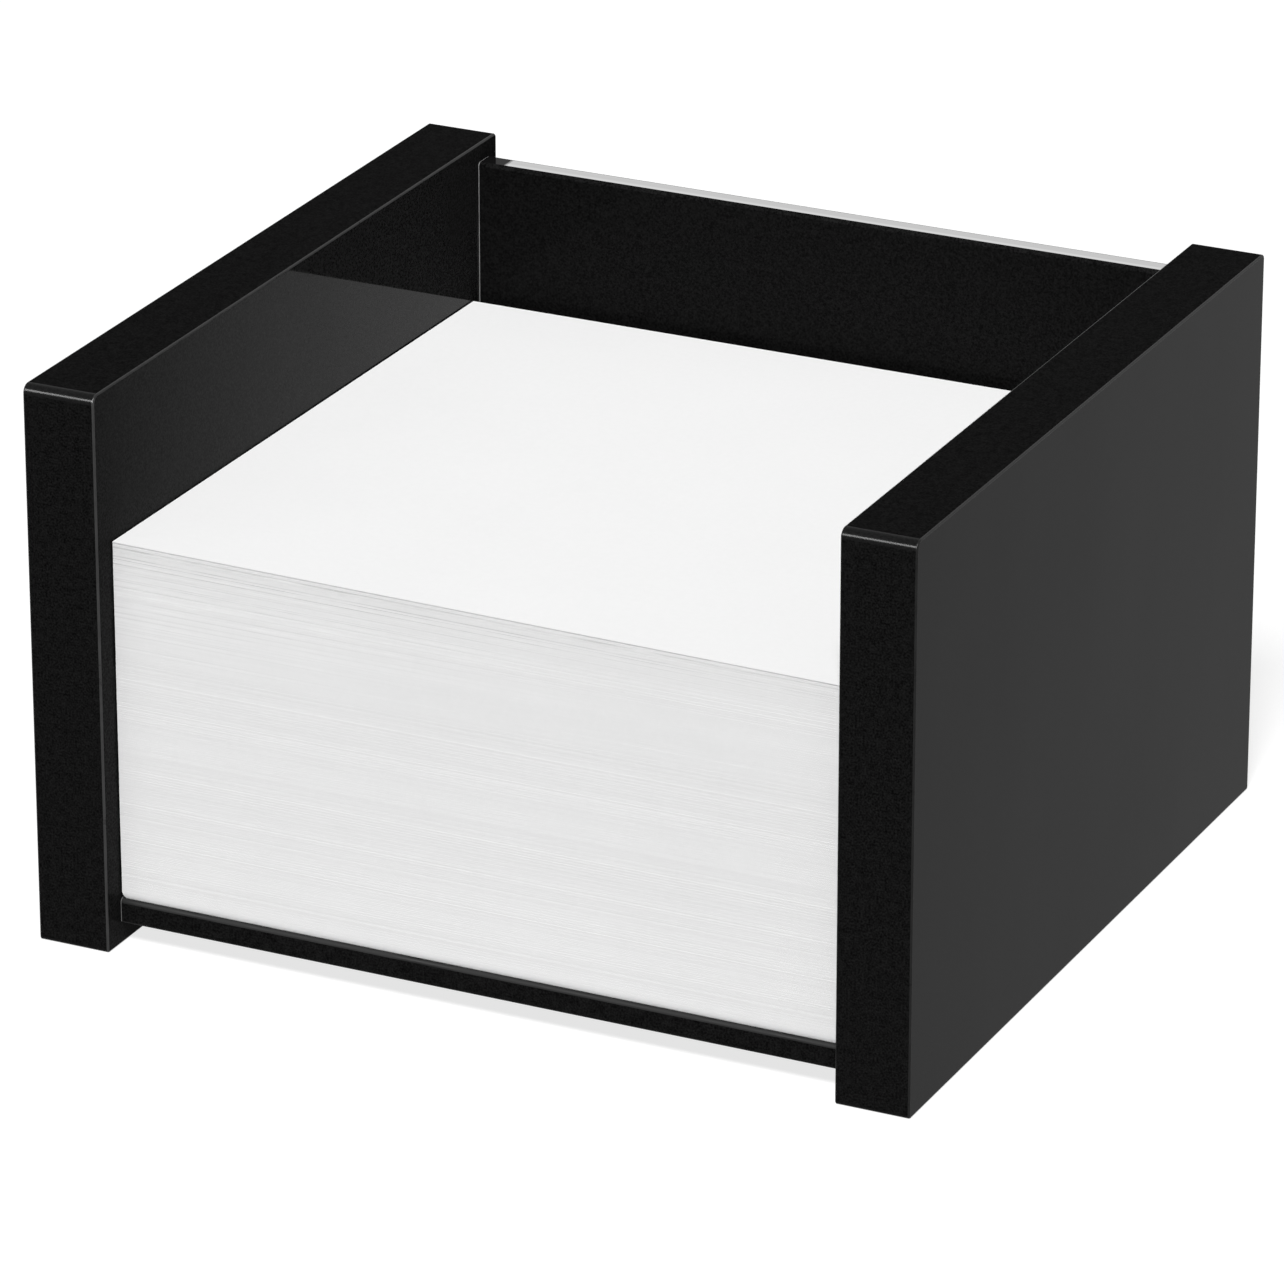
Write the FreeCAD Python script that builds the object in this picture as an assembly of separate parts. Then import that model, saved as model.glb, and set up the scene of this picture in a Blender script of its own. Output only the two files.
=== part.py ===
import FreeCAD, Part
import os

# Holder for loose square note sheets. Two thick acrylic side panels stand on the desk and
# carry a thin bottom shelf and a thin back panel between them; the front and top are open.
# Units are millimetres. X runs left to right, Y front to back, Z up; the origin is on the
# desk, midway between the side panels and midway between their front and rear edges.

V = FreeCAD.Vector

# Note paper
SHEET_SIZE = 90.0          # square note sheets
SHEET_THICKNESS = 0.1      # one sheet of 80 g/m2 paper
STACK_HEIGHT = 42.8        # full stack, measured where it lies flat
LOOSE_HEIGHT = 7.4         # upper part of the stack, loosened by leafing through it
LOOSE_LIFT = 1.1           # extra height of the loosened part at its front left corner
SHEET_AIR = 0.05           # air under the top sheet, which lies on the stack unpressed
# Wads that the loosened part falls into, each with how far it is shuffled right and forward
WAD_SHIFTS = (0.02, -0.03, 0.08, -0.02, 0.06, -0.05, 0.01, 0.07)

# Play of the paper in its pocket
GAP_LEFT = 0.3
GAP_RIGHT = 0.7
GAP_FRONT = 0.2            # the paper stands this far behind the shelf's front edge
GAP_REAR = 1.8

# Acrylic pieces
SIDE_THICKNESS = 9.0
SIDE_HEIGHT = 68.0
PLATE_THICKNESS = 3.0      # shelf and back panel
SHELF_RISE = 2.7           # desk to the underside of the shelf
SHELF_SETBACK = 3.0        # front edge of the side panels to the front edge of the shelf
BACK_SETBACK = 2.0         # rear face of the back panel to the rear edge of the side panels
BACK_DROP = 2.3            # top of the side panels down to the top of the back panel

# Softened edges
FRONT_TOP_RADIUS = 1.1     # side panel, corner over its front edge
REAR_TOP_RADIUS = 0.6
FOOT_RADIUS = 0.4          # side panel, both lower corners
ARRIS_RADIUS = 0.22        # side panel, all round both broad faces
SHELF_NOSE_RADIUS = 0.55   # shelf, upper edge of its front face
BACK_TOP_RADIUS = 0.45     # back panel, both edges of its top face
PLATE_ARRIS = 0.22         # other exposed long edges of the shelf and back panel
END_EASE = 0.15            # round both glued ends of the shelf and back panel

POCKET_WIDTH = GAP_LEFT + SHEET_SIZE + GAP_RIGHT
POCKET_DEPTH = GAP_FRONT + SHEET_SIZE + GAP_REAR
SIDE_DEPTH = SHELF_SETBACK + POCKET_DEPTH + PLATE_THICKNESS + BACK_SETBACK
POCKET_LEFT_X = -POCKET_WIDTH / 2
FRONT_Y = -SIDE_DEPTH / 2
REAR_Y = SIDE_DEPTH / 2
SHELF_FRONT_Y = FRONT_Y + SHELF_SETBACK
BACK_FACE_Y = SHELF_FRONT_Y + POCKET_DEPTH
BACK_REAR_Y = BACK_FACE_Y + PLATE_THICKNESS
BACK_TOP_Z = SIDE_HEIGHT - BACK_DROP
SHELF_TOP_Z = SHELF_RISE + PLATE_THICKNESS

PAPER_X = POCKET_LEFT_X + GAP_LEFT
PAPER_Y = SHELF_FRONT_Y + GAP_FRONT
STACK_TOP_Z = SHELF_TOP_Z + STACK_HEIGHT
LOOSE_TOP_Z = STACK_TOP_Z - SHEET_THICKNESS - SHEET_AIR
BLOCK_TOP_Z = LOOSE_TOP_Z - LOOSE_HEIGHT


def rounded_outline(corners):
    """Closed outline in the YZ plane through square corners given as (y, z, radius), each
    rounded by an arc tangent to both its sides. A corner with no radius stays sharp."""
    points = [V(0, y, z) for y, z, radius in corners]
    arcs, ends = [], []
    for i, corner in enumerate(points):
        radius = corners[i][2]
        to_last = (points[i - 1] - corner).normalize()
        to_next = (points[(i + 1) % len(points)] - corner).normalize()
        start, end = corner + to_last * radius, corner + to_next * radius
        ends.append((start, end))
        if radius:
            centre = start + to_next * radius
            middle = centre + (corner - centre).normalize() * radius
            arcs.append(Part.Arc(start, middle, end).toShape())
    sides = [Part.makeLine(ends[i - 1][1], start) for i, (start, end) in enumerate(ends)]
    return Part.Wire(Part.__sortEdges__(arcs + sides))


def extruded_piece(corners, x, width, end_radius):
    """Rounded outline drawn out along X from x, with the rim of both end faces rounded."""
    profile = Part.Face(rounded_outline(corners))
    profile.translate(V(x, 0, 0))
    piece = profile.extrude(V(width, 0, 0))
    for end_x in (x, x + width):
        rim = [e for e in piece.Edges if all(abs(v.X - end_x) < 1e-6 for v in e.Vertexes)]
        piece = piece.makeFillet(end_radius, rim)
    return piece


def side_panel(x):
    """Thick upright panel. The fine arris runs unbroken round each broad face, over the
    rounded corners as well."""
    corners = ((FRONT_Y, 0, FOOT_RADIUS),
               (REAR_Y, 0, FOOT_RADIUS),
               (REAR_Y, SIDE_HEIGHT, REAR_TOP_RADIUS),
               (FRONT_Y, SIDE_HEIGHT, FRONT_TOP_RADIUS))
    return extruded_piece(corners, x, SIDE_THICKNESS, ARRIS_RADIUS)


def bottom_shelf():
    """Thin plate glued between the side panels, its rear edge against the back panel."""
    corners = ((SHELF_FRONT_Y, SHELF_RISE, PLATE_ARRIS),
               (BACK_FACE_Y, SHELF_RISE, 0),
               (BACK_FACE_Y, SHELF_TOP_Z, 0),
               (SHELF_FRONT_Y, SHELF_TOP_Z, SHELF_NOSE_RADIUS))
    return extruded_piece(corners, POCKET_LEFT_X, POCKET_WIDTH, END_EASE)


def back_panel():
    """Thin plate glued between the side panels, from the shelf's underside upwards."""
    corners = ((BACK_FACE_Y, SHELF_RISE, 0),
               (BACK_REAR_Y, SHELF_RISE, PLATE_ARRIS),
               (BACK_REAR_Y, BACK_TOP_Z, BACK_TOP_RADIUS),
               (BACK_FACE_Y, BACK_TOP_Z, BACK_TOP_RADIUS))
    return extruded_piece(corners, POCKET_LEFT_X, POCKET_WIDTH, END_EASE)


def lifted_height(level, lift, x, y):
    """Height of a sheet that lies at level along its right and rear edges and rises evenly
    by lift towards its front left corner."""
    across = 1 - (x - PAPER_X) / SHEET_SIZE
    along = 1 - (y - PAPER_Y) / SHEET_SIZE
    return level + lift * across * along


def twisted_slab(low, high):
    """Slab between two lifted levels, each given as (level, lift). Its faces are ruled from
    a tilted front line to a level rear line, so neighbouring slabs share one face. It is
    larger than the paper all round."""
    margin = SHEET_SIZE / 90
    x_left, x_right = PAPER_X - margin, PAPER_X + SHEET_SIZE + margin

    def outline(y):
        corners = ((x_left, low), (x_right, low), (x_right, high), (x_left, high), (x_left, low))
        return Part.makePolygon([V(x, y, lifted_height(*level, x, y)) for x, level in corners])

    return Part.makeLoft([outline(PAPER_Y - margin), outline(PAPER_Y + SHEET_SIZE + margin)], True, True)


def paper_slice(low, high, shift):
    """Sheets between two lifted levels, shuffled to the right and forward by shift."""
    column = Part.makeBox(SHEET_SIZE, SHEET_SIZE, STACK_TOP_Z + 2 * LOOSE_LIFT,
                          V(PAPER_X + shift, PAPER_Y - shift, 0))
    return twisted_slab(low, high).common(column)


def memo_block():
    """Lower part of the stack, pressed flat."""
    return Part.makeBox(SHEET_SIZE, SHEET_SIZE, BLOCK_TOP_Z - SHELF_TOP_Z, V(PAPER_X, PAPER_Y, SHELF_TOP_Z))


def loose_wads():
    """Wads of the loosened part, from the bottom up. The lift grows evenly from wad to wad,
    so the stack opens like a fan at its front left corner."""
    count = len(WAD_SHIFTS)
    levels = [(BLOCK_TOP_Z + LOOSE_HEIGHT * i / count, LOOSE_LIFT * i / count) for i in range(count + 1)]
    return [paper_slice(levels[i], levels[i + 1], WAD_SHIFTS[i]) for i in range(count)]


def top_sheet():
    """Single sheet on top of the stack."""
    return paper_slice((LOOSE_TOP_Z + SHEET_AIR, LOOSE_LIFT), (STACK_TOP_Z, LOOSE_LIFT), 0)


pieces = {
    "left_side_panel": side_panel(POCKET_LEFT_X - SIDE_THICKNESS),
    "right_side_panel": side_panel(POCKET_LEFT_X + POCKET_WIDTH),
    "bottom_shelf": bottom_shelf(),
    "back_panel": back_panel(),
    "memo_block": memo_block(),
    "top_sheet": top_sheet(),
}
for number, wad in enumerate(loose_wads(), 1):
    pieces["loose_wad_%d" % number] = wad

os.makedirs("parts", exist_ok=True)
for name, shape in pieces.items():
    shape.exportStep("parts/%s.step" % name)
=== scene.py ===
import math
import random

import bpy
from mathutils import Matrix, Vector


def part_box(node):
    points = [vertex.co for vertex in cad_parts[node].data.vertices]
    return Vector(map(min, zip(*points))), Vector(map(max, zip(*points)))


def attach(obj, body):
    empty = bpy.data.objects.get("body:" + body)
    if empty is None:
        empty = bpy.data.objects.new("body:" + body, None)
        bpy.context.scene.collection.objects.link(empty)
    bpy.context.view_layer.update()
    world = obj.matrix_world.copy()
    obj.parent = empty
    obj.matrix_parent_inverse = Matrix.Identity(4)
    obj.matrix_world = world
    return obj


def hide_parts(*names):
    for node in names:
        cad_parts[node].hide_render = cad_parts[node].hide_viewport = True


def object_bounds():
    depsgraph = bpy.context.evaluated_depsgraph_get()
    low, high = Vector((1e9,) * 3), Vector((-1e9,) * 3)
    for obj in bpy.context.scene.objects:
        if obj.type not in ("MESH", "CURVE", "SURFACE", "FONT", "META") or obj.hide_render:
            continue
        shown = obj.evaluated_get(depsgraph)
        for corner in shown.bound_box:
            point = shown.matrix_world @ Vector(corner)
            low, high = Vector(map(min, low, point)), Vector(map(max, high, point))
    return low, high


# Looks for the note sheet holder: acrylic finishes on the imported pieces, a pile of separate
# paper sheets in place of the plain paper solids, and a white studio. All lengths are metres.

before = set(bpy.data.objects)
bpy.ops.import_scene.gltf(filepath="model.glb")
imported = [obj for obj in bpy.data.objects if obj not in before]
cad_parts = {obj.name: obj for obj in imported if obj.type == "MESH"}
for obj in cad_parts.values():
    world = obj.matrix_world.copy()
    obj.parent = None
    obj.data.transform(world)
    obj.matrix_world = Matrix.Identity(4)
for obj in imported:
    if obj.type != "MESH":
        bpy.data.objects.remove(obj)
cad_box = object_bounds()

MM = 0.001
random_source = random.Random(11)

# Camera, from the fit to the photograph's edges
CAMERA_PLACE = (0.36841, -0.77186, 0.38434)
CAMERA_TILT = math.radians(67.38)
CAMERA_TURN = math.radians(25.63)
CAMERA_LENS = 224.3
CAMERA_SENSOR = 36.0
CAMERA_CLIP = (0.02, 20)

# Light: a soft sky, a sun-like source high in front and a slim glint box low at the front left
SKY_LIGHT = 0.07
OVERHEAD_LIGHT = 3.50
OVERHEAD_SPREAD = math.radians(16)
OVERHEAD_TILT = math.radians(36)
OVERHEAD_TURN = math.radians(15)
GLINT_BOX_DISTANCE = 1.2
GLINT_BOX_TOWARDS = (-0.40, -0.79, 0.47)
GLINT_BOX_SIZE = (0.9, 0.28)
GLINT_BOX_POWER = 40.0

# White surroundings
FLOOR_HALF_WIDTH = 4.0
FLOOR_DROP = 0.02 * MM
FLOOR_COLOUR = 0.32
FLOOR_WHITENING = 0.77        # added for the camera alone
GLOSS_WHITENING = 0.62        # added where gloss or glass shows the floor

# Patterns on the acrylic and the paper, in features to a metre
FINE_GRAIN = 4300
SCRATCHES = 1500
MOTTLE = 1100
RUBS = 220
SMEARS = 45
CUTTER_MARKS, CUTTER_STRETCH = 400, (0.04, 8, 1)
FIBRE = 1400
CLOUDS = 60
EDGE_STREAKS = (160, 160, 2800)

# Acrylic
BLACK = 0.0068
# Painted light and shade: upright sawn edges are painted lighter than BLACK, and level ones darker
# (BLACK * 0.85 below), for how the light falls on them.
FRONT_BLACK_PAINTED_LIGHTER = 0.0084
# The inner faces' black, lighter than BLACK: painted light that makes up for the little light
# falling inside the pocket.
POCKET_BLACK_PAINTED_LIGHTER = 0.0145         # inside the pocket, where less light falls
GRAIN_SHARE = 0.75            # of a sawn edge's pattern; the rest is mottle
COAT_INDEX = 1.49
COAT_ROUGHNESS = 0.03
FLAT_FACE = 0.9997            # a facet's normal this near to an axis belongs to a flat face
NO_TURN = 0.02                # with less than this along X, a facet runs the width of its piece

# The back panel's mirrored top edge: its tones at the front and the rear, the front one lighter as
# a painted highlight, where the one turns into the other behind the panel's front face, and how far
# each end is painted black, a painted dark reflection of the side panel beside it
MIRROR_TONES = (0.62, 0.51)
MIRROR_STEP = (0.9 * MM, 1.3 * MM)
MIRROR_LEFT_END = (3.2 * MM, 3.7 * MM)
MIRROR_RIGHT_END = (1.6 * MM, 2.1 * MM)

# Painted dark reflection on the side panels' inner faces, gloss taken away from here rearwards and
# from here upwards, standing in for their mirror image of the black back panel
DARK_REFLECTION_DEPTHS = (35 * MM, 39 * MM)
DARK_REFLECTION_HEIGHTS = (56 * MM, 60 * MM)

# Paper, with streaks along its cut edges
PAPER_WHITES = (0.925, 0.935)
FIBRE_TONES = (-0.008, 0.008)
STREAK_TONES = (-0.006, 0.006)
STREAK_SHARES = (-0.1, 2.1)   # of the tone of a sheet's edge that they let show

# Pile of paper
SHEET_SIZE = 90 * MM
SHEET_PITCH = 0.1 * MM
SHEET_STEPS = 6               # divisions across a sheet, and along it if it is twisted
PRESSED_AIR = 0.004 * MM
PRESSED_STRAY = 0.005 * MM    # spread of the sheets' own shuffle
STRAY_LIMIT = 2.2             # in spreads
PILE_WAVER = 0.02 * MM
WAVER_PACES = (0.045, 0.17)   # radians a sheet, of its slow wave and of the quicker, lesser one
LEANS_LEFT = 0.12 * MM        # the whole pile stands this much nearer the left panel than packed
LOWEST_SHEETS = 8             # pushed in at the left
LOWEST_PUSH = 0.4 * MM
TOP_OVERHANG = 0.06 * MM
TOP_AIR = 0.01 * MM

# The pile's upper part, which was leafed through and opens towards its front left corner
LOOSE_WADS = 8
LOOSE_LIFT = 1.1 * MM
WAD_AIR = 0.026 * MM          # air at a wad's first sheet, at the lifted corner
WAD_AIR_SHARES = (0.6, 1.2)   # how much of that each wad has
LOOSE_AIR = 0.006 * MM        # mean air between the sheets of one wad, there
AIR_GROWTH = 0.7              # exponent of the air's growth from the bottom up
WAD_SHUFFLE = 0.05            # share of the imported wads' own shuffle that their sheets keep
WAD_TURN = 0.010 * MM         # widest turn of a wad, as the way its front left corner moves
LEAF_TURN = 0.004 * MM        # mean turn of a sheet within its wad
LEAF_PROUD = 0.0012 * MM      # mean way that a loose sheet stands proud at the front

# Tones of the sheets' cut edges, each a little lighter or darker than the paper: partly random
# tone, partly painted shade and light between the loose sheets
LEAF_TONE_AND_PAINTED_SHADE = "leaf_tone_and_painted_shade"       # the mesh attribute that holds them
DARK_SHARE = 0.25             # of the sheets, those whose edges make a dark line
DARK_SWINGS = (-2.5, -1.0)
LIGHT_SWINGS = (-0.1, 1.0)
TONE = 0.070                  # what a swing of 1 does to the tone at the top of the pile
FADE_DEPTH = 1.3 * MM         # the tones fade over this depth at the right,
FADE_DEEPER = 6.8 * MM        # and over this much more at the left, where the pile opens
# Painted shadow: the edges right under the top sheet are darker, as in the shade of its overhang.
TOP_PAINTED_SHADOW = 0.06             # how much darker the edges right under the top sheet are
TOP_PAINTED_SHADOW_DEPTH = 1.2 * MM


# ---------------------------------------------------------------- shader helpers

def new_material(name):
    material = bpy.data.materials.new(name)
    material.use_nodes = True
    tree = material.node_tree
    tree.nodes.clear()
    output = tree.nodes.new("ShaderNodeOutputMaterial")
    shader = tree.nodes.new("ShaderNodeBsdfPrincipled")
    tree.links.new(shader.outputs["BSDF"], output.inputs["Surface"])
    return material, tree, shader


def noise(tree, scale, stretch=(1, 1, 1), detail=3.0, roughness=0.5):
    """Noise in the row frame, with about scale features to a metre along each axis of stretch 1."""
    place = tree.nodes.new("ShaderNodeTexCoord")
    mapping = tree.nodes.new("ShaderNodeMapping")
    mapping.inputs["Scale"].default_value = stretch
    texture = tree.nodes.new("ShaderNodeTexNoise")
    texture.inputs["Scale"].default_value = scale
    texture.inputs["Detail"].default_value = detail
    texture.inputs["Roughness"].default_value = roughness
    tree.links.new(place.outputs["Object"], mapping.inputs["Vector"])
    tree.links.new(mapping.outputs["Vector"], texture.inputs["Vector"])
    return texture.outputs["Fac"]


def mapped(tree, value, low, high, start=0.3, end=0.7):
    """value, from start to end, as a number from low to high. Most noise lies in 0.3 to 0.7."""
    node = tree.nodes.new("ShaderNodeMapRange")
    node.inputs["From Min"].default_value = start
    node.inputs["From Max"].default_value = end
    node.inputs["To Min"].default_value = low
    node.inputs["To Max"].default_value = high
    tree.links.new(value, node.inputs["Value"])
    return node.outputs["Result"]


def combined(tree, operation, first, second=0.0):
    node = tree.nodes.new("ShaderNodeMath")
    node.operation = operation
    for socket, value in zip(node.inputs, (first, second)):
        if isinstance(value, (int, float)):
            socket.default_value = value
        else:
            tree.links.new(value, socket)
    return node.outputs["Value"]


def along_axis(tree, coordinates, axis):
    """The place along one axis of the row frame in metres, for the coordinates "Object", or how
    much the surface faces along it, for "Normal"."""
    place = tree.nodes.new("ShaderNodeTexCoord")
    split = tree.nodes.new("ShaderNodeSeparateXYZ")
    tree.links.new(place.outputs[coordinates], split.inputs["Vector"])
    return split.outputs[axis]


def bumped(tree, shader, height, depth, strength):
    node = tree.nodes.new("ShaderNodeBump")
    node.inputs["Strength"].default_value = strength
    node.inputs["Distance"].default_value = depth
    tree.links.new(height, node.inputs["Height"])
    tree.links.new(node.outputs["Normal"], shader.inputs["Normal"])


# ---------------------------------------------------------------- acrylic

def painted_dark_reflection_mask(tree):
    """1 at the inner faces' rear top corner over the back panel's joint, where gloss is taken off
    for a painted dark reflection, and 0 elsewhere.
    """
    rearwards = mapped(tree, along_axis(tree, "Object", "Y"), 0.0, 1.0, *DARK_REFLECTION_DEPTHS)
    upwards = mapped(tree, along_axis(tree, "Object", "Z"), 0.0, 1.0, *DARK_REFLECTION_HEIGHTS)
    return combined(tree, "MULTIPLY", rearwards, upwards)


def polished_face(name, black, front_gloss, rear_gloss, dark_reflection_painted=False):
    """A cast sheet's own face: black and mirror smooth, its gloss changing from front to rear."""
    material, tree, shader = new_material(name)
    speckle = noise(tree, FINE_GRAIN, detail=2.0)
    tree.links.new(mapped(tree, speckle, black * 0.45, black * 1.55), shader.inputs["Base Color"])
    smears = noise(tree, SMEARS, stretch=(1, 1, 0.4), detail=4.0)
    tree.links.new(mapped(tree, smears, 0.4, 0.6), shader.inputs["Roughness"])
    low, high = cad_box
    rearwards = along_axis(tree, "Object", "Y")
    gloss = combined(tree, "MULTIPLY", mapped(tree, smears, 0.97, 1.03),
                     mapped(tree, rearwards, front_gloss, rear_gloss, low.y, high.y))
    # Painted dark reflection: the inner faces lose their gloss at the rear top corner, over the
    # back panel's joint.
    if dark_reflection_painted:
        clear = combined(tree, "SUBTRACT", 1.0, painted_dark_reflection_mask(tree))
        gloss = combined(tree, "MULTIPLY", gloss, clear)
    tree.links.new(gloss, shader.inputs["Coat Weight"])
    shader.inputs["Coat Roughness"].default_value = COAT_ROUGHNESS
    shader.inputs["Coat IOR"].default_value = COAT_INDEX
    shader.inputs["Specular IOR Level"].default_value = 0.0
    return material


def satin_edge(name, black):
    """A sawn and scraped edge: matt black with a fine mottled grain."""
    material, tree, shader = new_material(name)
    grain = noise(tree, FINE_GRAIN, detail=2.0, roughness=0.6)
    mottle = noise(tree, MOTTLE, detail=2.0)
    both = combined(tree, "ADD", combined(tree, "MULTIPLY", grain, GRAIN_SHARE),
                    combined(tree, "MULTIPLY", mottle, 1 - GRAIN_SHARE))
    tone = mapped(tree, both, black * 0.3, black * 1.7, start=0.37, end=0.63)
    tree.links.new(tone, shader.inputs["Base Color"])
    tree.links.new(mapped(tree, both, 0.42, 0.62), shader.inputs["Roughness"])
    bumped(tree, shader, both, depth=0.004 * MM, strength=0.6)
    shader.inputs["Specular IOR Level"].default_value = 0.001
    return material


def rounded_bend(name):
    """The rounded corner over a side panel's front edge: black, and smooth enough for a glint."""
    material, tree, shader = new_material(name)
    grain = noise(tree, FINE_GRAIN, detail=2.0, roughness=0.6)
    tree.links.new(mapped(tree, grain, BLACK * 0.5, BLACK * 1.5), shader.inputs["Base Color"])
    tree.links.new(mapped(tree, grain, 0.16, 0.22), shader.inputs["Roughness"])
    bumped(tree, shader, grain, depth=0.001 * MM, strength=0.3)
    shader.inputs["Specular IOR Level"].default_value = 0.06
    return material


def worn_arris_with_painted_highlight(name, rub_and_highlight_tone, gloss, dullness=0.24):
    """The broken corner between two faces, rubbed in places: it catches the light, and its tone is
    partly wear, partly painted highlight.
    """
    material, tree, shader = new_material(name)
    rubs = noise(tree, RUBS, detail=5.0, roughness=0.65)
    # Painted highlight as well as wear: a base tone far lighter than the black around it.
    tree.links.new(mapped(tree, rubs, rub_and_highlight_tone * 0.7, rub_and_highlight_tone * 1.5), shader.inputs["Base Color"])
    tree.links.new(mapped(tree, rubs, dullness, dullness * 1.6), shader.inputs["Roughness"])
    scratches = noise(tree, SCRATCHES, detail=2.0)
    bumped(tree, shader, scratches, depth=0.002 * MM, strength=0.5)
    shader.inputs["Specular IOR Level"].default_value = gloss
    return material


def mirror_edge(name):
    """The back panel's top edge, diamond cut: a mirror, lighter at the front as a painted highlight
    and black at its ends as a painted dark reflection.
    """
    material, tree, shader = new_material(name)
    low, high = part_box("back_panel")
    across = along_axis(tree, "Object", "X")
    clear = combined(tree, "MULTIPLY",
                     mapped(tree, across, 0, 1, *(low.x + end for end in MIRROR_LEFT_END)),
                     mapped(tree, across, 0, 1, *(high.x - end for end in MIRROR_RIGHT_END)))
    cuts = noise(tree, CUTTER_MARKS, stretch=CUTTER_STRETCH, detail=2.0)
    rearwards = along_axis(tree, "Object", "Y")
    # Painted highlight: the front part's mirror tone is lighter than the rear's.
    step = mapped(tree, rearwards, *MIRROR_TONES, *(low.y + depth for depth in MIRROR_STEP))
    tone = combined(tree, "MULTIPLY", step, mapped(tree, cuts, 0.97, 1.03))
    # Painted dark reflection: the ends turn black and lose their metal mirror.
    tone = combined(tree, "MULTIPLY", tone, clear)
    tree.links.new(combined(tree, "MAXIMUM", tone, BLACK), shader.inputs["Base Color"])
    tree.links.new(clear, shader.inputs["Metallic"])
    tree.links.new(mapped(tree, cuts, 0.04, 0.08), shader.inputs["Roughness"])
    bumped(tree, shader, cuts, depth=0.0002 * MM, strength=1.0)
    shader.inputs["Specular IOR Level"].default_value = 0.02
    return material


def dress(node, finish_of):
    """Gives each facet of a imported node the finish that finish_of(its normal) names."""
    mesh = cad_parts[node].data
    mesh.materials.clear()
    order = []
    for polygon in mesh.polygons:
        material = finish_of(polygon.normal)
        if material not in order:
            order.append(material)
            mesh.materials.append(material)
        polygon.material_index = order.index(material)


def is_flat(*shares):
    """True for a facet that faces along one of the axes whose shares of its normal these are."""
    return max(abs(share) for share in shares) > FLAT_FACE


def dress_acrylic():
    # Painted light: the inner faces take the lighter pocket black.
    inner = polished_face("acrylic_inner_face", POCKET_BLACK_PAINTED_LIGHTER, front_gloss=0.062, rear_gloss=0.47,
                          dark_reflection_painted=True)
    outer = polished_face("acrylic_outer_face", BLACK, front_gloss=0.25, rear_gloss=0.295)
    plate = polished_face("acrylic_plate_face", POCKET_BLACK_PAINTED_LIGHTER * 0.42, front_gloss=0.02,
                          rear_gloss=0.02)
    # Painted light and shade: one sawn-edge finish, in a lighter copy for the upright edges and a
    # darker one for the level edges.
    upright = satin_edge("acrylic_upright_edge", FRONT_BLACK_PAINTED_LIGHTER)
    level = satin_edge("acrylic_level_edge", BLACK * 0.85)
    bend = rounded_bend("acrylic_bend")
    # Painted highlights as well as rubbed wear: each arris kind, the shelf's nose and the seams get
    # their own light tone, lighter or dimmer by where they face.
    upright_arris = worn_arris_with_painted_highlight("acrylic_upright_arris", rub_and_highlight_tone=0.028, gloss=0.28)
    level_arris = worn_arris_with_painted_highlight("acrylic_level_arris", rub_and_highlight_tone=0.020, gloss=0.11)
    outer_arris = worn_arris_with_painted_highlight("acrylic_outer_arris", rub_and_highlight_tone=0.012, gloss=0.12)
    dim_arris = worn_arris_with_painted_highlight("acrylic_dim_arris", rub_and_highlight_tone=0.009, gloss=0.04)
    nose = worn_arris_with_painted_highlight("acrylic_shelf_nose", rub_and_highlight_tone=0.019, gloss=0.06, dullness=0.45)
    # The seams' light lines are partly a cement line and partly painted highlight.
    seam = worn_arris_with_painted_highlight("acrylic_cement_seam", rub_and_highlight_tone=0.30, gloss=0.30)
    shelf_seam = worn_arris_with_painted_highlight("acrylic_shelf_seam", rub_and_highlight_tone=0.16, gloss=0.24)
    mirror = mirror_edge("acrylic_mirror_edge")

    def side_panel(outward):
        """outward is the way that the panel's outer face looks along X, -1 or 1."""
        def finish(normal):
            if is_flat(normal.x):
                return outer if normal.x * outward > 0 else inner
            if is_flat(normal.y, normal.z):
                return upright if is_flat(normal.y) else level
            if abs(normal.x) < NO_TURN:
                return bend
            if normal.x * outward > 0:
                return outer_arris
            if outward > 0:
                return dim_arris
            return level_arris if abs(normal.z) > abs(normal.y) else upright_arris
        return finish

    def back_panel(normal):
        if is_flat(normal.y):
            return plate if normal.y < 0 else outer
        if is_flat(normal.z):
            return mirror if normal.z > 0 else level
        return upright if abs(normal.x) < NO_TURN else seam

    def bottom_shelf(normal):
        if is_flat(normal.z):
            return plate if normal.z > 0 else outer
        if is_flat(normal.y):
            return upright
        return nose if abs(normal.x) < NO_TURN else shelf_seam

    dress("left_side_panel", side_panel(-1))
    dress("right_side_panel", side_panel(1))
    dress("back_panel", back_panel)
    dress("bottom_shelf", bottom_shelf)


# ---------------------------------------------------------------- paper

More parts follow.
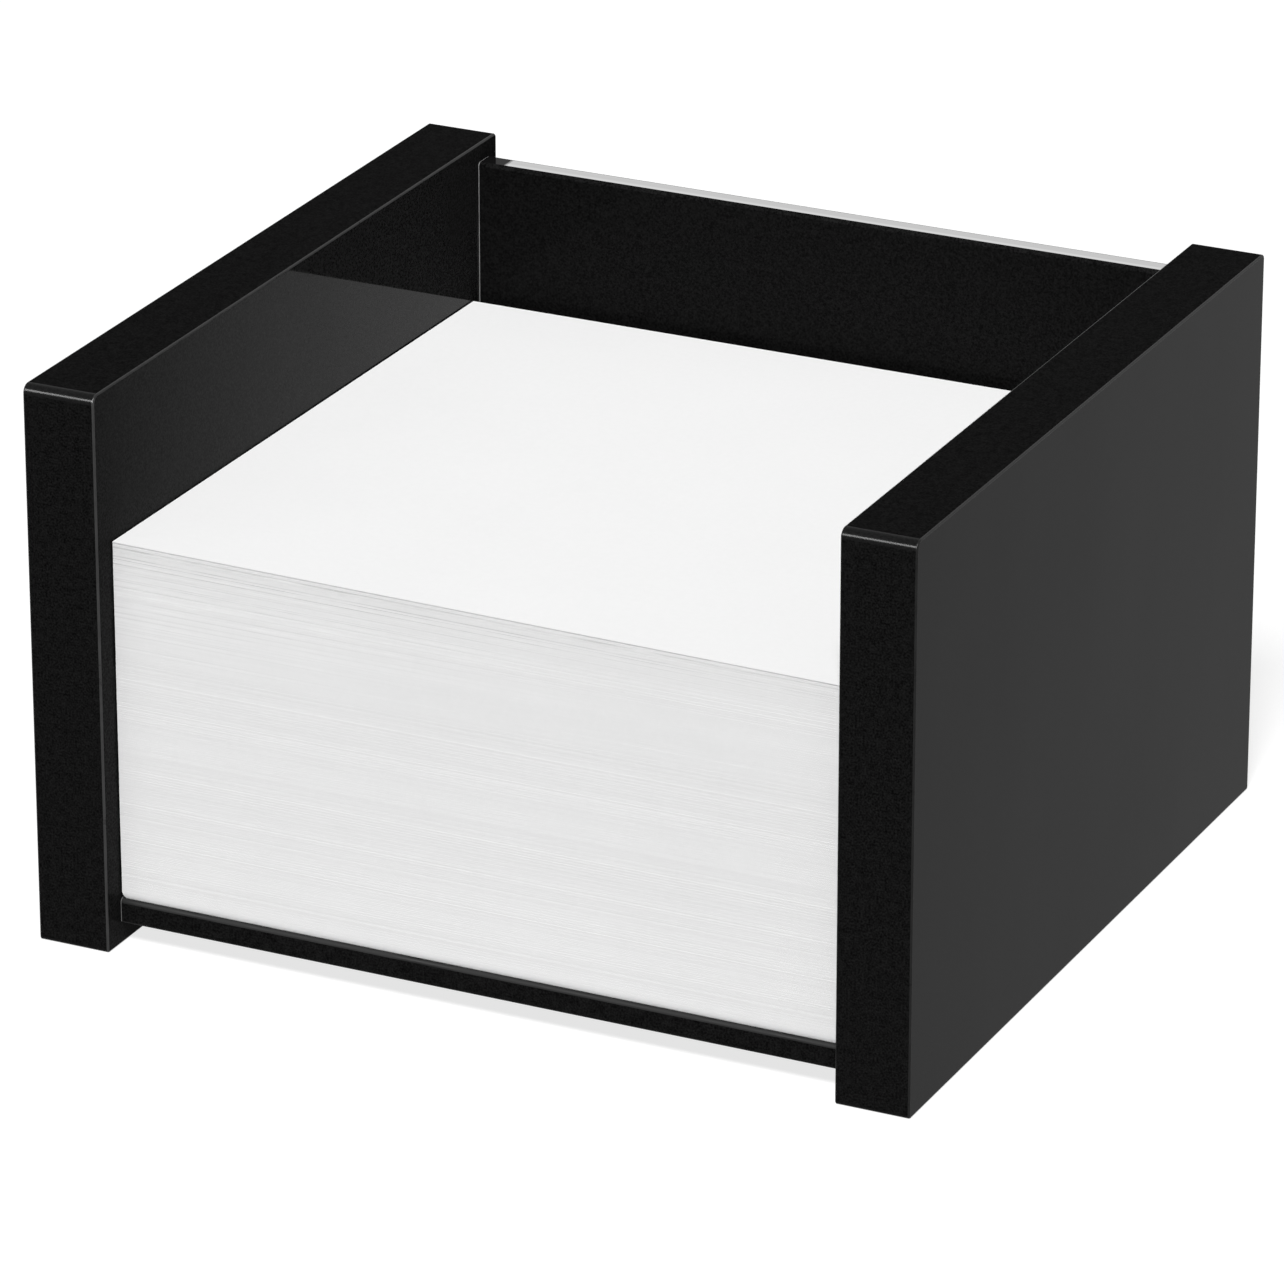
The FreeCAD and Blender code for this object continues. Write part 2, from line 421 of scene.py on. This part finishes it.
def note_paper(name):
    """Uncoated white paper: fibre on its faces, and on its cut edges fine streaks and the sheets'
    tones, partly random tone and partly painted shade and light."""
    material, tree, shader = new_material(name)
    fibre = noise(tree, FIBRE, detail=4.0, roughness=0.6)
    clouds = noise(tree, CLOUDS, detail=2.0)
    streaks = noise(tree, 1, stretch=EDGE_STREAKS, detail=3.0)
    leaf = tree.nodes.new("ShaderNodeAttribute")
    leaf.attribute_name = LEAF_TONE_AND_PAINTED_SHADE
    facing_up = combined(tree, "ABSOLUTE", along_axis(tree, "Normal", "Z"))
    cut_edge = combined(tree, "SUBTRACT", 1.0, facing_up)
    line = combined(tree, "MULTIPLY", leaf.outputs["Fac"], mapped(tree, streaks, *STREAK_SHARES))
    line = combined(tree, "ADD", line, mapped(tree, streaks, *STREAK_TONES))
    tone = combined(tree, "ADD", mapped(tree, fibre, *FIBRE_TONES),
                    mapped(tree, clouds, *PAPER_WHITES))
    tone = combined(tree, "ADD", tone, combined(tree, "MULTIPLY", line, cut_edge))
    tree.links.new(tone, shader.inputs["Base Color"])
    tree.links.new(mapped(tree, fibre, 0.80, 0.94), shader.inputs["Roughness"])
    bumped(tree, shader, fibre, depth=0.006 * MM, strength=0.4)
    shader.inputs["Specular IOR Level"].default_value = 0.2
    return material


def random_swing():
    """Mostly a little lighter than the paper, and now and then a dark line: painted light and shade
    on the sheets' edges as well as random tone.
    """
    dark = random_source.random() < DARK_SHARE
    return random_source.uniform(*(DARK_SWINGS if dark else LIGHT_SWINGS))


def leaf_tone_and_painted_shade(swing, depth, u):
    """How much lighter or darker than the paper a sheet's edge is, at its depth in the pile and at
    u of the way across it,
    from 0 at the left to 1 at the right: partly random tone, partly painted shade and light, with a
    painted shadow under the top sheet."""
    fade = FADE_DEPTH + FADE_DEEPER * (1 - u) ** 2
    # The swing is partly painted shade and light, and the second term is the painted shadow under
    # the top sheet.
    return (swing * TONE * math.exp(-depth / fade)
            - TOP_PAINTED_SHADOW * math.exp(-depth / TOP_PAINTED_SHADOW_DEPTH))


class Sheets:
    """The closed sheets of one piece, gathered into one mesh, each divided into across by along
    parts."""

    def __init__(self, across, along):
        self.across, self.along = across, along
        self.points, self.faces, self.tones = [], [], []

    def add(self, left, front, level, thickness, lifts=(0, 0), turn=0.0, swing=0.0, depth=math.inf):
        """Its underside and top rise by lifts towards the front left corner, evenly, and it is
        turned a little about its front right corner, which moves the left one by turn. Its tone
        comes from its own swing and its depth in the pile."""
        start, across, along = len(self.points), self.across, self.along
        for height, lift in zip((level, level + thickness), lifts):
            for j in range(along + 1):
                for i in range(across + 1):
                    u, v = i / across, j / along
                    self.points.append((left + u * SHEET_SIZE - turn * v,
                                        front + v * SHEET_SIZE - turn * (1 - u),
                                        height + lift * (1 - u) * (1 - v)))
                    self.tones.append(leaf_tone_and_painted_shade(swing, depth, u))

        def at(side, i, j):
            return start + (side * (along + 1) + j) * (across + 1) + i

        for j in range(along):
            for i in range(across):
                self.faces += [
                    (at(1, i, j), at(1, i + 1, j), at(1, i + 1, j + 1), at(1, i, j + 1)),
                    (at(0, i, j), at(0, i, j + 1), at(0, i + 1, j + 1), at(0, i + 1, j))]
        for i in range(across):
            self.faces += [
                (at(0, i, 0), at(0, i + 1, 0), at(1, i + 1, 0), at(1, i, 0)),
                (at(0, i + 1, along), at(0, i, along), at(1, i, along), at(1, i + 1, along))]
        for j in range(along):
            self.faces += [
                (at(0, 0, j + 1), at(0, 0, j), at(1, 0, j), at(1, 0, j + 1)),
                (at(0, across, j), at(0, across, j + 1), at(1, across, j + 1), at(1, across, j))]

    def make(self, name, material, body, replaced):
        mesh = bpy.data.meshes.new(name)
        mesh.from_pydata(self.points, [], self.faces)
        mesh.attributes.new(LEAF_TONE_AND_PAINTED_SHADE, "FLOAT", "POINT").data.foreach_set("value", self.tones)
        mesh.materials.append(material)
        mesh.update()
        piece = bpy.data.objects.new(name, mesh)
        bpy.context.scene.collection.objects.link(piece)
        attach(piece, body)
        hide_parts(*replaced)


def stray(spread):
    limit = STRAY_LIMIT * spread
    return max(-limit, min(limit, random_source.gauss(0, spread)))


def waver(i):
    """How far the pile has wandered at its i-th sheet."""
    slow, quick = (i * pace for pace in WAVER_PACES)
    return PILE_WAVER * (math.sin(slow) + 0.5 * math.sin(quick + 1.0))


def pressed_stack(material):
    """The flat lower part of the pile, sheet by sheet; the lowest few are pushed in at the left.
    Returns how many sheets it has."""
    low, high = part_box("memo_block")
    pile_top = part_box("top_sheet")[0].z
    count = round((high.z - low.z) / SHEET_PITCH)
    pitch = (high.z - low.z) / count
    sheets = Sheets(SHEET_STEPS, 1)
    for i in range(count):
        push = LOWEST_PUSH * max(0.0, 1 - i / LOWEST_SHEETS) ** 2
        sheets.add(low.x - LEANS_LEFT + waver(i) + push + stray(PRESSED_STRAY),
                   low.y - waver(i) + push / 2 + stray(PRESSED_STRAY),
                   low.z + i * pitch, pitch - PRESSED_AIR,
                   swing=random_swing(), depth=pile_top - low.z - i * pitch)
    sheets.make("pressed_sheets", material, "stack", ["memo_block"])
    return count


def now_and_then(mean):
    """Mostly near nothing, and once in a while four times the mean."""
    return mean * 4 * random_source.random() ** 3


def loose_lifts(count):
    """How far each loose sheet's underside and top rise at the front left corner: the air between
    them opens a little more at the first sheet of each wad, and more in the upper wads."""
    airs = []
    for i in range(count):
        share = i / (count - 1)
        first = int(i * LOOSE_WADS / count) != int((i - 1) * LOOSE_WADS / count)
        wide = WAD_AIR * random_source.uniform(*WAD_AIR_SHARES) if first else 0.0
        airs.append(share ** AIR_GROWTH * (wide + now_and_then(LOOSE_AIR)))
    swell = (LOOSE_LIFT - sum(airs)) / count
    lifts, level = [], 0.0
    for air in airs:
        lifts.append((level + air, level + air + swell))
        level += air + swell
    return lifts


def loose_stack(material, sheets_below):
    """The upper part, leafed through: it fans open towards its front left corner."""
    wads = [f"loose_wad_{i + 1}" for i in range(LOOSE_WADS)]
    block_low, block_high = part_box("memo_block")
    top_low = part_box("top_sheet")[0]
    count = int((top_low.z - block_high.z) / SHEET_PITCH)
    pitch = (top_low.z - block_high.z) / count
    sheets = Sheets(SHEET_STEPS, SHEET_STEPS)
    turns = [random_source.uniform(-1, 1) * WAD_TURN for _ in wads]
    for i, lifts in enumerate(loose_lifts(count)):
        share, wad = i / count, int(i * LOOSE_WADS / count)
        shuffle = (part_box(wads[wad])[0] - top_low) * WAD_SHUFFLE
        place = block_low.lerp(top_low, share) + shuffle * share
        turn = share * (turns[wad] + now_and_then(LEAF_TURN))
        wander = waver(sheets_below + i)
        proud = wander + share ** 2 * now_and_then(LEAF_PROUD)
        sheets.add(place.x - LEANS_LEFT + wander + stray(PRESSED_STRAY),
                   place.y - proud + stray(PRESSED_STRAY), block_high.z + i * pitch,
                   pitch - PRESSED_AIR, lifts, turn, random_swing(), (count - i) * pitch)
    sheets.make("loose_sheets", material, "loose_part", wads)


def single_sheet(material):
    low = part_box("top_sheet")[0]
    sheet = Sheets(SHEET_STEPS, SHEET_STEPS)
    sheet.add(low.x - LEANS_LEFT, low.y - TOP_OVERHANG, low.z + TOP_AIR, SHEET_PITCH - TOP_AIR,
              (LOOSE_LIFT, LOOSE_LIFT))
    sheet.make("single_sheet_leaf", material, "single_sheet", ["top_sheet"])


# ---------------------------------------------------------------- studio

def light_path(tree, camera, gloss):
    """camera for camera rays, gloss for rays by way of gloss or glass, and 0 for the rest."""
    path = tree.nodes.new("ShaderNodeLightPath")
    shown = combined(tree, "MAXIMUM", path.outputs["Is Glossy Ray"],
                     path.outputs["Is Transmission Ray"])
    return combined(tree, "ADD", combined(tree, "MULTIPLY", path.outputs["Is Camera Ray"], camera),
                    combined(tree, "MULTIPLY", shown, gloss))


def make_floor():
    half = FLOOR_HALF_WIDTH
    mesh = bpy.data.meshes.new("floor")
    mesh.from_pydata([(-half, -half, -FLOOR_DROP), (half, -half, -FLOOR_DROP),
                      (half, half, -FLOOR_DROP), (-half, half, -FLOOR_DROP)], [], [(0, 1, 2, 3)])
    floor = bpy.data.objects.new("floor", mesh)
    bpy.context.scene.collection.objects.link(floor)
    material = bpy.data.materials.new("floor_white")
    material.use_nodes = True
    tree = material.node_tree
    tree.nodes.clear()
    matt = tree.nodes.new("ShaderNodeBsdfDiffuse")
    matt.inputs["Color"].default_value = (FLOOR_COLOUR, FLOOR_COLOUR, FLOOR_COLOUR, 1)
    white = tree.nodes.new("ShaderNodeEmission")
    tree.links.new(light_path(tree, FLOOR_WHITENING, GLOSS_WHITENING), white.inputs["Strength"])
    total = tree.nodes.new("ShaderNodeAddShader")
    output = tree.nodes.new("ShaderNodeOutputMaterial")
    tree.links.new(matt.outputs["BSDF"], total.inputs[0])
    tree.links.new(white.outputs["Emission"], total.inputs[1])
    tree.links.new(total.outputs["Shader"], output.inputs["Surface"])
    mesh.materials.append(material)


def make_sky():
    """White for the camera and in reflections, and a weak light on everything else."""
    world = bpy.data.worlds.new("white_room")
    bpy.context.scene.world = world
    world.use_nodes = True
    tree = world.node_tree
    tree.nodes.clear()
    background = tree.nodes.new("ShaderNodeBackground")
    background.inputs["Color"].default_value = (1, 1, 1, 1)
    strength = mapped(tree, light_path(tree, 1.0, 1.0), SKY_LIGHT, 1.0, 0.0, 1.0)
    tree.links.new(strength, background.inputs["Strength"])
    output = tree.nodes.new("ShaderNodeOutputWorld")
    tree.links.new(background.outputs["Background"], output.inputs["Surface"])


def add_lamp(name, kind, energy):
    lamp = bpy.data.lights.new(name, kind)
    lamp.energy = energy
    holder = bpy.data.objects.new(name, lamp)
    bpy.context.scene.collection.objects.link(holder)
    return lamp, holder


def make_lamps():
    overhead, holder = add_lamp("overhead_light", "SUN", OVERHEAD_LIGHT)
    overhead.angle = OVERHEAD_SPREAD
    holder.rotation_euler = (OVERHEAD_TILT, 0, OVERHEAD_TURN)

    box, holder = add_lamp("glint_box", "AREA", GLINT_BOX_POWER)
    box.shape = "RECTANGLE"
    box.size, box.size_y = GLINT_BOX_SIZE
    low, high = cad_box
    middle = [(low[i] + high[i]) / 2 for i in range(3)]
    holder.location = [middle[i] + GLINT_BOX_DISTANCE * GLINT_BOX_TOWARDS[i] for i in range(3)]
    x, y, z = GLINT_BOX_TOWARDS
    tilt = math.pi / 2 - math.atan2(z, math.hypot(x, y))
    turn = math.atan2(x, -y)
    holder.rotation_euler = (tilt, 0, turn)
    holder.visible_diffuse = False


def make_camera():
    lens = bpy.data.cameras.new("camera")
    lens.lens = CAMERA_LENS
    lens.sensor_width = CAMERA_SENSOR
    lens.clip_start, lens.clip_end = CAMERA_CLIP
    camera = bpy.data.objects.new("camera", lens)
    camera.location = CAMERA_PLACE
    camera.rotation_euler = (CAMERA_TILT, 0, CAMERA_TURN)
    bpy.context.scene.collection.objects.link(camera)
    bpy.context.scene.camera = camera


# ---------------------------------------------------------------- scene

dress_acrylic()
paper = note_paper("note_paper_white")
loose_stack(paper, pressed_stack(paper))
single_sheet(paper)
make_floor()
make_sky()
make_lamps()
make_camera()
bpy.context.scene.view_settings.view_transform = "Standard"
